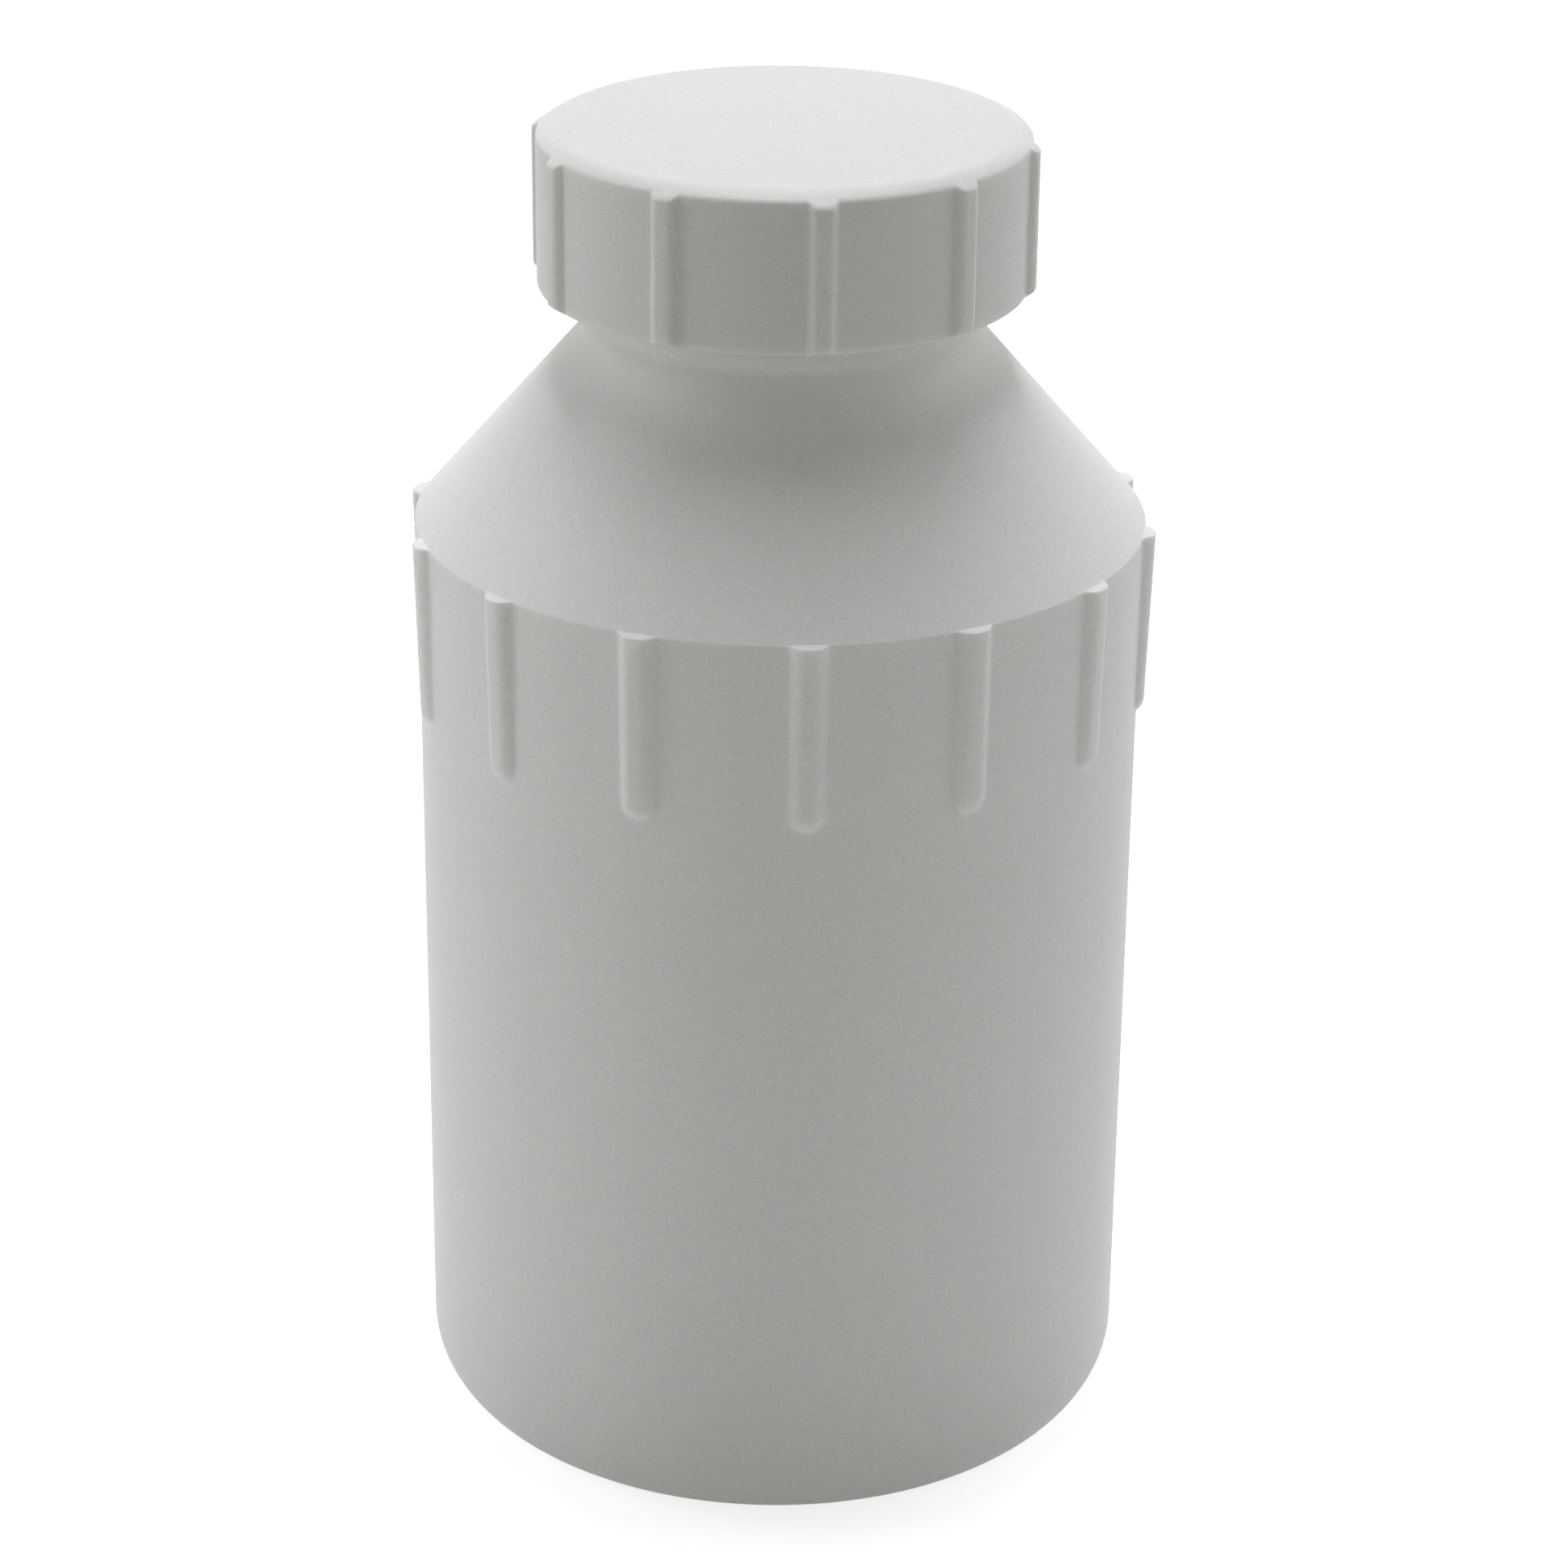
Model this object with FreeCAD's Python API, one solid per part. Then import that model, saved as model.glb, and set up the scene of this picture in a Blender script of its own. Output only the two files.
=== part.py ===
import FreeCAD, Part
import math
import os

# Wide-mouth laboratory bottle, moulded in white fluoropolymer, with a ribbed screw cap.
# Three pieces come apart on the bench: the bottle, the cap, and a loose disc that seals in the cap's roof.
# Lengths are millimetres and angles degrees. +Z is up, and the origin is the centre of the base on the table.
# An azimuth is measured from +X towards +Y, and -Y is the front.

# Bottle body
BODY_RADIUS = 52.0
SHOULDER_HEIGHT = 138.5
SHOULDER_SLOPE = 49.35
WALL = 4.0
FLOOR = 4.0

# Underside: a round edge runs down into a low slope, and a shallow dish leaves a ring to stand on
BASE_EDGE_RADIUS = 9.9
FOOT_RADIUS = 44.3
FOOT_SLOPE = 25.0
DISH_DEPTH = 1.0
DISH_RADIUS = 33.0
DISH_BEVEL = 2.0

# Neck
NECK_RADIUS = 26.2
NECK_HEIGHT = 20.4
NECK_WALL = 3.7
NECK_BLEND_RADIUS = 4.5
RIM_CHAMFER = 0.6

# Ribs below the shoulder: they stand proudest at the top and end in a half-round
BODY_RIBS = 14
BODY_RIB_AZIMUTH = -85.6
BODY_RIB_WIDTH = 4.0
BODY_RIB_LENGTH = 27.5
BODY_RIB_STAND_TOP = 1.56
BODY_RIB_STAND_END = 1.1
BODY_RIB_RISE = 0.4
BODY_RIB_TOP_BEVEL = 0.9
BODY_RIB_BITE = 2.0

# Grip ribs of the cap, over its full height
CAP_RIBS = 10
CAP_RIB_AZIMUTH = -81.2
CAP_RIB_WIDTH = 2.9
CAP_RIB_STAND = 1.15

# Rib section, shared by both: steep flanks, eased onto the crest by a bevel.
# Bevel height and reach are shares of how far the rib stands out.
RIB_FLANK = 56.0
RIB_BEVEL_HEIGHT = 0.2
RIB_BEVEL_REACH = 0.25
RIB_SINK = 0.02

# Screw thread of neck and cap: one right-hand start, with play between the flanks
THREAD_PITCH = 5.0
THREAD_DEPTH = 1.7
THREAD_FLANK = 30.0
THREAD_PLAY = 0.4
THREAD_GAP = 0.5
THREAD_FADE = 50.0
THREAD_BITE = 0.6
NECK_THREAD_TURNS = 1.5
NECK_THREAD_BELOW_RIM = 2.8
CAP_THREAD_TURNS = 1.25
CAP_THREAD_BELOW_RIM = 2.3
POINTS_PER_TURN = 24

# Cap
CAP_WALL = 6.1
CAP_LAP = 16.0
CAP_ROOF = 4.4
CAP_EDGE_BEVEL = 1.5
CAP_EDGE_SLOPE = 26.0

# Sealing disc: it is wider than the cap's thread, which keeps it from falling out
DISC_THICKNESS = 1.5
DISC_GAP = 0.4

# Heights and radii that follow
CAVITY_RADIUS = BODY_RADIUS - WALL
BORE_RADIUS = NECK_RADIUS - NECK_WALL
SHOULDER_RISE = math.tan(math.radians(SHOULDER_SLOPE))
NECK_FOOT_Z = SHOULDER_HEIGHT + (BODY_RADIUS - NECK_RADIUS) * SHOULDER_RISE
RIM_Z = NECK_FOOT_Z + NECK_HEIGHT
ROOF_Z = RIM_Z + DISC_THICKNESS
CAP_TOP_Z = ROOF_Z + CAP_ROOF
CAP_BOTTOM_Z = RIM_Z - CAP_LAP
CAP_BORE_RADIUS = NECK_RADIUS + THREAD_DEPTH + THREAD_GAP
CAP_RADIUS = CAP_BORE_RADIUS + CAP_WALL
DISC_RADIUS = CAP_BORE_RADIUS - DISC_GAP
NECK_THREAD_TOP_Z = RIM_Z - NECK_THREAD_BELOW_RIM
NECK_THREAD_START_Z = NECK_THREAD_TOP_Z - THREAD_PITCH * NECK_THREAD_TURNS

ORIGIN = FreeCAD.Vector(0, 0, 0)
UP = FreeCAD.Vector(0, 0, 1)
OUT = FreeCAD.Vector(1, 0, 0)
ACROSS = FreeCAD.Vector(0, 1, 0)
FULL_TURN = 360.0
MARGIN = 1.0


def line(start, end):
    return Part.LineSegment(start, end).toShape()


def arc(start, middle, end):
    return Part.Arc(start, middle, end).toShape()


def loop(points):
    """Closed wire of straight edges."""
    return Part.makePolygon(points + points[:1])


def corner(before, point, after, radius):
    """Start, middle and end of the arc that rounds one corner of an outline."""
    arriving = (point - before).normalize()
    leaving = (after - point).normalize()
    half_turn = arriving.getAngle(leaving) / 2
    reach = radius * math.tan(half_turn)
    inward = (leaving - arriving).normalize()
    middle = point + inward * (radius / math.cos(half_turn) - radius)
    return point - arriving * reach, middle, point + leaving * reach


def outline(corners):
    """Closed wire in the XZ plane through corners of (radius, height) or (radius, height, rounding)."""
    points = [FreeCAD.Vector(place[0], 0, place[1]) for place in corners]
    count = len(points)
    starts, ends, edges = [], [], []
    for i, place in enumerate(corners):
        if len(place) == 3:
            start, middle, end = corner(points[i - 1], points[i], points[(i + 1) % count], place[2])
            edges.append(arc(start, middle, end))
        else:
            start = end = points[i]
        starts.append(start)
        ends.append(end)
    edges += [line(ends[i], starts[(i + 1) % count]) for i in range(count)]
    return Part.Wire(Part.__sortEdges__(edges))


def turned(corners):
    """Solid of revolution about the bottle's axis."""
    return Part.Face(outline(corners)).revolve(ORIGIN, UP, FULL_TURN)


def ring_of(shape, count, first_azimuth):
    """Copies of a shape evenly spaced round the axis."""
    copies = []
    for i in range(count):
        copy = shape.copy()
        copy.rotate(ORIGIN, UP, first_azimuth + i * FULL_TURN / count)
        copies.append(copy)
    return copies


def rib_side(carrier_radius, width, stand):
    """Plan points of one side of a rib that points along +X: foot on the round wall, flank end, crest."""
    tilt = math.tan(math.radians(RIB_FLANK))

    def half_width(height):
        return width / 2 + (stand / 2 - height) / tilt

    foot_y = half_width(0)
    foot_x = math.sqrt(carrier_radius ** 2 - foot_y ** 2)
    flank_end = stand * (1 - RIB_BEVEL_HEIGHT)
    return [
        FreeCAD.Vector(foot_x, foot_y, 0),
        FreeCAD.Vector(carrier_radius + flank_end, half_width(flank_end), 0),
        FreeCAD.Vector(carrier_radius + stand, half_width(stand) - stand * RIB_BEVEL_REACH, 0),
    ]


def mirrored(points):
    """The same points on the rib's other side, in the opposite order."""
    return [FreeCAD.Vector(p.x, -p.y, p.z) for p in reversed(points)]


def body_rib_section(stand, z, half=False):
    """Plan section of a body rib, rooted in the wall; half of it makes the round end."""
    side = rib_side(BODY_RADIUS - RIB_SINK, BODY_RIB_WIDTH, stand)
    root_x = BODY_RADIUS - BODY_RIB_BITE
    side.insert(0, FreeCAD.Vector(root_x, side[0].y, 0))
    if half:
        section = loop([FreeCAD.Vector(root_x, 0, 0)] + side + [FreeCAD.Vector(side[-1].x, 0, 0)])
    else:
        section = loop(side + mirrored(side))
    section.translate(UP * z)
    return section


def body_rib():
    """One rib pointing along +X: it grows prouder upwards, ends in a half-round and has a bevelled top."""
    end_reach = rib_side(BODY_RADIUS, BODY_RIB_WIDTH, BODY_RIB_STAND_END)[0].y
    end_z = SHOULDER_HEIGHT - BODY_RIB_LENGTH + end_reach
    top_z = SHOULDER_HEIGHT + BODY_RIB_RISE
    sections = [body_rib_section(BODY_RIB_STAND_END, end_z), body_rib_section(BODY_RIB_STAND_TOP, top_z)]
    bar = Part.makeLoft(sections, True, True)
    # seen from the side, the top corner is taken off in two bevels
    crest_x = BODY_RADIUS + BODY_RIB_STAND_TOP
    back_x = BODY_RADIUS - BODY_RIB_BITE - MARGIN
    bevel = BODY_RIB_TOP_BEVEL
    shave = bevel * (1 - math.sqrt(0.5))
    side = outline([
        (back_x, end_z - MARGIN),
        (crest_x, end_z - MARGIN),
        (crest_x, top_z - bevel),
        (crest_x - shave, top_z - shave),
        (crest_x - bevel, top_z),
        (back_x, top_z),
    ])
    side.translate(ACROSS * -BODY_RIB_WIDTH)
    bar = bar.common(Part.Face(side).extrude(ACROSS * (2 * BODY_RIB_WIDTH)))
    half = Part.Face(body_rib_section(BODY_RIB_STAND_END, end_z, half=True))
    end = half.revolve(UP * end_z, OUT, -FULL_TURN / 2)
    return bar.fuse(end)


def helix(place_at, z_at_zero, first_turn, last_turn):
    """Right-hand helix; place_at gives its radius and a shift in height at each turn."""
    count = math.ceil((last_turn - first_turn) * POINTS_PER_TURN)
    points = []
    for i in range(count + 1):
        turn = first_turn + (last_turn - first_turn) * i / count
        angle = 2 * math.pi * turn
        radius, shift = place_at(turn)
        z = z_at_zero + THREAD_PITCH * turn + shift
        points.append(FreeCAD.Vector(radius * math.cos(angle), radius * math.sin(angle), z))
    curve = Part.BSplineCurve()
    curve.interpolate(points)
    return curve.toShape()


def thread_ridge(wall_radius, crest_radius, z_at_zero, first_turn, last_turn):
    """One helical ridge on a round wall, sinking back into the wall at both ends."""
    side = math.copysign(1, crest_radius - wall_radius)
    slope = math.tan(math.radians(THREAD_FLANK))
    wall_half = THREAD_PITCH / 4 - THREAD_PLAY / 2 + THREAD_DEPTH / 2 * slope
    fade_turns = THREAD_FADE / FULL_TURN

    def height(turn):
        share = min((turn - first_turn) / fade_turns, (last_turn - turn) / fade_turns, 1.0)
        return math.sin(share * math.pi / 2) * (THREAD_DEPTH + THREAD_BITE) - THREAD_BITE

    def crest(sign):
        return lambda turn: (wall_radius + side * height(turn), sign * (wall_half - height(turn) * slope))

    def root(sign):
        root_radius = wall_radius - side * 2 * THREAD_BITE
        return lambda turn: (root_radius, sign * (wall_half + 2 * THREAD_BITE * slope))

    edges = [helix(at, z_at_zero, first_turn, last_turn) for at in (root(-1), crest(-1), crest(1), root(1))]
    faces = [Part.makeRuledSurface(edges[i - 1], edges[i]) for i in range(len(edges))]
    for end in (0, -1):
        faces.append(Part.Face(loop([e.Vertexes[end].Point for e in edges])))
    solid = Part.makeSolid(Part.makeShell(faces))
    if solid.Volume < 0:
        solid.reverse()
    return solid


def make_cavity():
    """The room inside the bottle, up to its rim."""
    floor_z = DISH_DEPTH + FLOOR
    wall_drop = WALL / math.cos(math.radians(SHOULDER_SLOPE))

    def inner_cone_z(radius):
        return SHOULDER_HEIGHT + (BODY_RADIUS - radius) * SHOULDER_RISE - wall_drop

    return turned([
        (0, floor_z),
        (CAVITY_RADIUS, floor_z),
        (CAVITY_RADIUS, inner_cone_z(CAVITY_RADIUS)),
        (BORE_RADIUS, inner_cone_z(BORE_RADIUS)),
        (BORE_RADIUS, RIM_Z - RIM_CHAMFER),
        (BORE_RADIUS + RIM_CHAMFER, RIM_Z),
        (0, RIM_Z),
    ])


def make_bottle(cavity):
    """Base, barrel, shoulder cone and threaded neck in one moulded piece."""
    foot_rise = (BODY_RADIUS - FOOT_RADIUS) * math.tan(math.radians(FOOT_SLOPE))
    outside = turned([
        (0, DISH_DEPTH),
        (DISH_RADIUS - DISH_BEVEL, DISH_DEPTH),
        (DISH_RADIUS, 0),
        (FOOT_RADIUS, 0),
        (BODY_RADIUS, foot_rise, BASE_EDGE_RADIUS),
        (BODY_RADIUS, SHOULDER_HEIGHT),
        (NECK_RADIUS, NECK_FOOT_Z, NECK_BLEND_RADIUS),
        (NECK_RADIUS, RIM_Z - RIM_CHAMFER),
        (NECK_RADIUS - RIM_CHAMFER, RIM_Z),
        (0, RIM_Z),
    ])
    ribs = ring_of(body_rib(), BODY_RIBS, BODY_RIB_AZIMUTH)
    thread = thread_ridge(NECK_RADIUS, NECK_RADIUS + THREAD_DEPTH, NECK_THREAD_START_Z, 0, NECK_THREAD_TURNS)
    return outside.cut(cavity).fuse(ribs).fuse(thread)


def cap_plan():
    """Outline of the cap from above: a circle with evenly spaced grip ribs."""
    side = rib_side(CAP_RADIUS, CAP_RIB_WIDTH, CAP_RIB_STAND)
    spacing = 2 * math.pi / CAP_RIBS
    foot_azimuth = math.atan2(side[0].y, side[0].x)
    spots = [FreeCAD.Vector(math.cos(a), math.sin(a), 0) * CAP_RADIUS
             for a in (foot_azimuth, spacing / 2, spacing - foot_azimuth)]
    edges = []
    for one in Part.makePolygon(side + mirrored(side)).Edges + [arc(*spots)]:
        edges += ring_of(one, CAP_RIBS, CAP_RIB_AZIMUTH)
    return Part.Wire(Part.__sortEdges__(edges))


def make_cap():
    """Screw cap: ribbed skirt, roof that slopes off at its edge, and the inner thread."""
    skirt = Part.Face(cap_plan()).extrude(UP * (CAP_TOP_Z - CAP_BOTTOM_Z))
    skirt.translate(UP * CAP_BOTTOM_Z)
    # the slope at the roof's edge runs on over the ribs' tops
    flat_radius = CAP_RADIUS - CAP_EDGE_BEVEL
    slope_end = CAP_RADIUS + CAP_RIB_STAND + MARGIN
    drop = (slope_end - flat_radius) * math.tan(math.radians(CAP_EDGE_SLOPE))
    roof = turned([
        (0, CAP_BOTTOM_Z),
        (slope_end, CAP_BOTTOM_Z),
        (slope_end, CAP_TOP_Z - drop),
        (flat_radius, CAP_TOP_Z),
        (0, CAP_TOP_Z),
    ])
    inside = turned([
        (0, CAP_BOTTOM_Z),
        (CAP_BORE_RADIUS, CAP_BOTTOM_Z),
        (CAP_BORE_RADIUS, ROOF_Z),
        (0, ROOF_Z),
    ])
    # half a pitch below the neck's ridge, so that each ridge lies in the other's groove
    start_z = NECK_THREAD_START_Z - THREAD_PITCH / 2
    last_turn = (RIM_Z - CAP_THREAD_BELOW_RIM - start_z) / THREAD_PITCH
    first_turn = last_turn - CAP_THREAD_TURNS
    thread = thread_ridge(CAP_BORE_RADIUS, CAP_BORE_RADIUS - THREAD_DEPTH, start_z, first_turn, last_turn)
    return skirt.common(roof).cut(inside).fuse(thread)


def make_sealing_disc():
    """Loose disc between the bottle's rim and the cap's roof."""
    return turned([(0, RIM_Z), (DISC_RADIUS, RIM_Z), (DISC_RADIUS, ROOF_Z), (0, ROOF_Z)])


def write(name, shape):
    print(name, "solids", len(shape.Solids), "valid", shape.isValid(), "ml", round(shape.Volume / 1000, 1))
    shape.exportStep("parts/" + name + ".step")


os.makedirs("parts", exist_ok=True)
cavity = make_cavity()
print("brimful capacity ml", round(cavity.Volume / 1000))
print("overall height", round(CAP_TOP_Z, 2), "cap radius", round(CAP_RADIUS, 2))
write("bottle", make_bottle(cavity))
write("screw_cap", make_cap())
write("sealing_disc", make_sealing_disc())
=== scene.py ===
# %% [markdown]
# A wide-mouth laboratory bottle, moulded in a thick white fluoropolymer.
# The bottle and its screw cap are each one moulding, so each becomes one closed skin here.
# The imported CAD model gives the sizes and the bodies. The skins keep its form and add the small
# roundings that a mould leaves, because on a plain white object the edges are what the eye reads.

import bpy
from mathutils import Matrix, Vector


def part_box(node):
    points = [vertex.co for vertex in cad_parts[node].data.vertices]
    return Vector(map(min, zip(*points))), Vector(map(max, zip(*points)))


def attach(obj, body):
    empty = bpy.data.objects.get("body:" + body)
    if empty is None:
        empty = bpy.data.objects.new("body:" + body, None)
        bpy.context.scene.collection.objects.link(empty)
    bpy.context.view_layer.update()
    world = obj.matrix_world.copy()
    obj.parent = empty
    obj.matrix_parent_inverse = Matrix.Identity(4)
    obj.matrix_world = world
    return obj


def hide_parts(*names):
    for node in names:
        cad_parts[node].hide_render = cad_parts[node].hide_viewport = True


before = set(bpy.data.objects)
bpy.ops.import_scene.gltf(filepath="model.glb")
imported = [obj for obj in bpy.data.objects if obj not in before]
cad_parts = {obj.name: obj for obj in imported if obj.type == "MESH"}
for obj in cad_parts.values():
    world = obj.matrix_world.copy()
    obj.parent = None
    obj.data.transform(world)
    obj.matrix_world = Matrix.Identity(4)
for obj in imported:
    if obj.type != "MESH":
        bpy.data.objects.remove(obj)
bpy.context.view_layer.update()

import math

import bpy
import numpy as np
from mathutils import Matrix

MM = 0.001

# %% [markdown]
# The camera comes first, because every later choice is judged through it. It could be aimed by eye,
# but a place and a lens that match the body's outline, the cap and the ribs in the photograph let
# the two pictures be compared point by point. It stands in front of the bottle and looks down on
# it at about 24 degrees, through a long lens that hardly tapers the body.

# %% Camera
CAMERA_PLACE = (0.0, -607.63 * MM, 362.80 * MM)
CAMERA_PITCH = 0.41422
CAMERA_YAW = 0.0015
CAMERA_ROLL = 0.01087
SENSOR_WIDTH = 36.0
FOCAL_LENGTH = 103.58
CLIP_NEAR = 0.01
CLIP_FAR = 50.0


def place_matrix(right, up, back, place):
    """Matrix of a camera or lamp, which looks away from its back axis."""
    matrix = np.eye(4)
    for column, axis in enumerate((right, up, back, place)):
        matrix[:3, column] = axis
    return Matrix(matrix.tolist())


def add_camera():
    """The camera looks along +Y, pitched down, turned and rolled by the fitted angles."""
    data = bpy.data.cameras.new("photo_camera")
    data.sensor_width = SENSOR_WIDTH
    data.lens = FOCAL_LENGTH
    data.clip_start = CLIP_NEAR
    data.clip_end = CLIP_FAR
    camera = bpy.data.objects.new("photo_camera", data)
    bpy.context.scene.collection.objects.link(camera)
    forward = np.array([
        math.sin(CAMERA_YAW) * math.cos(CAMERA_PITCH),
        math.cos(CAMERA_YAW) * math.cos(CAMERA_PITCH),
        -math.sin(CAMERA_PITCH),
    ])
    right = np.cross(forward, (0.0, 0.0, 1.0))
    right /= np.linalg.norm(right)
    up = np.cross(right, forward)
    turned_right = right * math.cos(CAMERA_ROLL) + up * math.sin(CAMERA_ROLL)
    turned_up = -right * math.sin(CAMERA_ROLL) + up * math.cos(CAMERA_ROLL)
    camera.matrix_world = place_matrix(turned_right, turned_up, -forward, CAMERA_PLACE)
    bpy.context.scene.camera = camera
    return camera


camera = add_camera()
print("camera looks down", round(math.degrees(CAMERA_PITCH), 1), "degrees, lens", FOCAL_LENGTH, "mm")

# %% [markdown]
# The stage is a pale floor and soft studio light. A white object shows its form only by how the
# light falls off round it, so the light is a wide soft box above, two tall ones at the sides, a
# weak fill from the front and a fainter one from behind. The sides come out lighter than the
# front, as in the photograph. The floor looks white because its material adds a white glow that
# only the camera and reflections see. It lights nothing, and the floor still takes the bottle's
# shadow.

# %% Floor, seen white by the camera
FLOOR_SIZE = 8.0
FLOOR_COLOUR = (0.8, 0.8, 0.8, 1.0)
FLOOR_GLOW = 0.72
WHITE = (1.0, 1.0, 1.0, 1.0)


def link(tree, source, target):
    tree.links.new(source, target)


def seen_directly(tree):
    """1 for what the camera sees, directly or by gloss or glass, and 0 for every other ray."""
    path = tree.nodes.new("ShaderNodeLightPath")
    either = tree.nodes.new("ShaderNodeMath")
    either.operation = "MAXIMUM"
    link(tree, path.outputs["Is Camera Ray"], either.inputs[0])
    link(tree, path.outputs["Is Glossy Ray"], either.inputs[1])
    any_of = tree.nodes.new("ShaderNodeMath")
    any_of.operation = "MAXIMUM"
    link(tree, either.outputs[0], any_of.inputs[0])
    link(tree, path.outputs["Is Transmission Ray"], any_of.inputs[1])
    return any_of.outputs[0]


def floor_material():
    """A diffuse pale paint, plus the glow that only the camera and reflections see."""
    material = bpy.data.materials.new("pale_floor")
    material.use_nodes = True
    tree = material.node_tree
    tree.nodes.clear()
    paint = tree.nodes.new("ShaderNodeBsdfDiffuse")
    paint.inputs["Color"].default_value = FLOOR_COLOUR
    glow = tree.nodes.new("ShaderNodeEmission")
    glow.inputs["Color"].default_value = WHITE
    scaled = tree.nodes.new("ShaderNodeMath")
    scaled.operation = "MULTIPLY"
    scaled.inputs[1].default_value = FLOOR_GLOW
    link(tree, seen_directly(tree), scaled.inputs[0])
    link(tree, scaled.outputs[0], glow.inputs["Strength"])
    both = tree.nodes.new("ShaderNodeAddShader")
    link(tree, paint.outputs[0], both.inputs[0])
    link(tree, glow.outputs[0], both.inputs[1])
    output = tree.nodes.new("ShaderNodeOutputMaterial")
    link(tree, both.outputs[0], output.inputs["Surface"])
    return material


def add_floor():
    half = FLOOR_SIZE / 2
    corners = [(-half, -half, 0), (half, -half, 0), (half, half, 0), (-half, half, 0)]
    mesh = bpy.data.meshes.new("floor")
    mesh.from_pydata(corners, [], [(0, 1, 2, 3)])
    mesh.materials.append(floor_material())
    floor = bpy.data.objects.new("floor", mesh)
    bpy.context.scene.collection.objects.link(floor)
    return floor


floor = add_floor()
print("floor", FLOOR_SIZE, "m wide")

# %% World: white to the camera and in reflections, while it lights nothing
def add_world():
    world = bpy.data.worlds.new("white_backdrop")
    world.use_nodes = True
    tree = world.node_tree
    tree.nodes.clear()
    backdrop = tree.nodes.new("ShaderNodeBackground")
    backdrop.inputs["Color"].default_value = WHITE
    link(tree, seen_directly(tree), backdrop.inputs["Strength"])
    output = tree.nodes.new("ShaderNodeOutputWorld")
    link(tree, backdrop.outputs[0], output.inputs["Surface"])
    bpy.context.scene.world = world
    return world


world = add_world()
bpy.context.scene.view_settings.view_transform = "Standard"
print("world", world.name, "seen through the", bpy.context.scene.view_settings.view_transform, "view")

# %% Soft boxes
# name, place in metres, direction it faces, width and height in metres, power in watts, colour
SOFT_BOXES = [
    ("overhead_box", (0.0, 0.3, 1.2), (0, 0, -1), (0.5, 0.6), 9.65, (0.965, 0.965, 1.0)),
    ("left_box", (-0.8, 0.05, 0.46), (1, 0, 0), (0.5, 0.88), 2.7, (1.0, 1.0, 1.0)),
    ("right_box", (0.8, 0.3, 0.46), (-1, 0, 0), (1.0, 0.88), 3.08, (1.0, 1.0, 1.0)),
    ("front_box", (0.0, -1.0, 0.5), (0, 1, 0), (0.8, 0.4), 2.05, (1.0, 0.975, 0.9)),
    ("back_box", (0.0, 1.0, 0.4), (0, -1, 0), (1.2, 0.7), 1.3, (1.0, 0.99, 0.8)),
]


def add_soft_box(name, place, facing, size, power, colour):
    """A rectangular area lamp that the camera doesn't see."""
    data = bpy.data.lights.new(name, "AREA")
    data.shape = "RECTANGLE"
    data.size, data.size_y = size
    data.energy = power
    data.color = colour
    lamp = bpy.data.objects.new(name, data)
    lamp.visible_camera = False
    bpy.context.scene.collection.objects.link(lamp)
    facing = np.array(facing, float)
    points_down = facing[2] < 0
    side = np.cross(facing, (0, 1, 0) if points_down else (0, 0, 1))
    lamp.matrix_world = place_matrix(side, np.cross(side, facing), -facing, place)
    return lamp


lamps = [add_soft_box(*box) for box in SOFT_BOXES]
print("soft boxes", [lamp.name for lamp in lamps])

# %% [markdown]
# The plastic. A fluoropolymer moulding is white, matte and a little waxy: no mirror gloss, a fine
# grain from the mould, a faint cloudiness in its tone, and a few specks of dust that static holds.
# Light goes a few millimetres into it before it leaves again, which softens the shading of each
# edge. A picture of plastic could be wrapped round it, but noise nodes stay sharp at any distance.
# All three pieces share grain, cloudiness and specks, so each is a node group with its own inputs.
# Each piece then sets its own values, and the shader itself stays in the material.

# %% Node group: fine moulded grain
NOISE_DETAIL = 3.0
NOISE_MIDDLE = 0.5


def new_group(name, inputs, outputs):
    """Node group with the stated sockets; an input is a label, a socket kind and a value or None."""
    group = bpy.data.node_groups.new(name, "ShaderNodeTree")
    for label, kind, value in inputs:
        socket = group.interface.new_socket(label, in_out="INPUT", socket_type=kind)
        if value is not None:
            socket.default_value = value
    for label, kind in outputs:
        group.interface.new_socket(label, in_out="OUTPUT", socket_type=kind)
    start = group.nodes.new("NodeGroupInput")
    end = group.nodes.new("NodeGroupOutput")
    return group, start, end


def noise(tree, place, scale, roughness):
    """Noise from 0 to 1, with three finer layers; place and scale are sockets."""
    node = tree.nodes.new("ShaderNodeTexNoise")
    node.inputs["Detail"].default_value = NOISE_DETAIL
    node.inputs["Roughness"].default_value = roughness
    link(tree, place, node.inputs["Vector"])
    link(tree, scale, node.inputs["Scale"])
    return node.outputs["Fac"]


def arithmetic(tree, operation, first, second):
    """Maths node on two values, each a number or a socket."""
    node = tree.nodes.new("ShaderNodeMath")
    node.operation = operation
    for socket, value in zip(node.inputs, (first, second)):
        if isinstance(value, (int, float)):
            socket.default_value = value
        else:
            link(tree, value, socket)
    return node.outputs[0]


def tone_about_one(tree, value, depth):
    """Turns noise into a factor that varies about 1, by the stated depth."""
    centred = arithmetic(tree, "SUBTRACT", value, NOISE_MIDDLE)
    return arithmetic(tree, "ADD", arithmetic(tree, "MULTIPLY", centred, depth), 1.0)


def grain_group():
    """Height of the grain, from 0 to 1, and the tone that goes with it."""
    group, start, end = new_group(
        "moulded_grain",
        [("Place", "NodeSocketVector", None), ("Grains per Metre", "NodeSocketFloat", 2600.0),
         ("Tone Depth", "NodeSocketFloat", 0.02)],
        [("Height", "NodeSocketFloat"), ("Tone", "NodeSocketFloat")])
    fine = noise(group, start.outputs["Place"], start.outputs["Grains per Metre"], roughness=0.6)
    link(group, fine, end.inputs["Height"])
    link(group, tone_about_one(group, fine, start.outputs["Tone Depth"]), end.inputs["Tone"])
    return group


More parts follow.
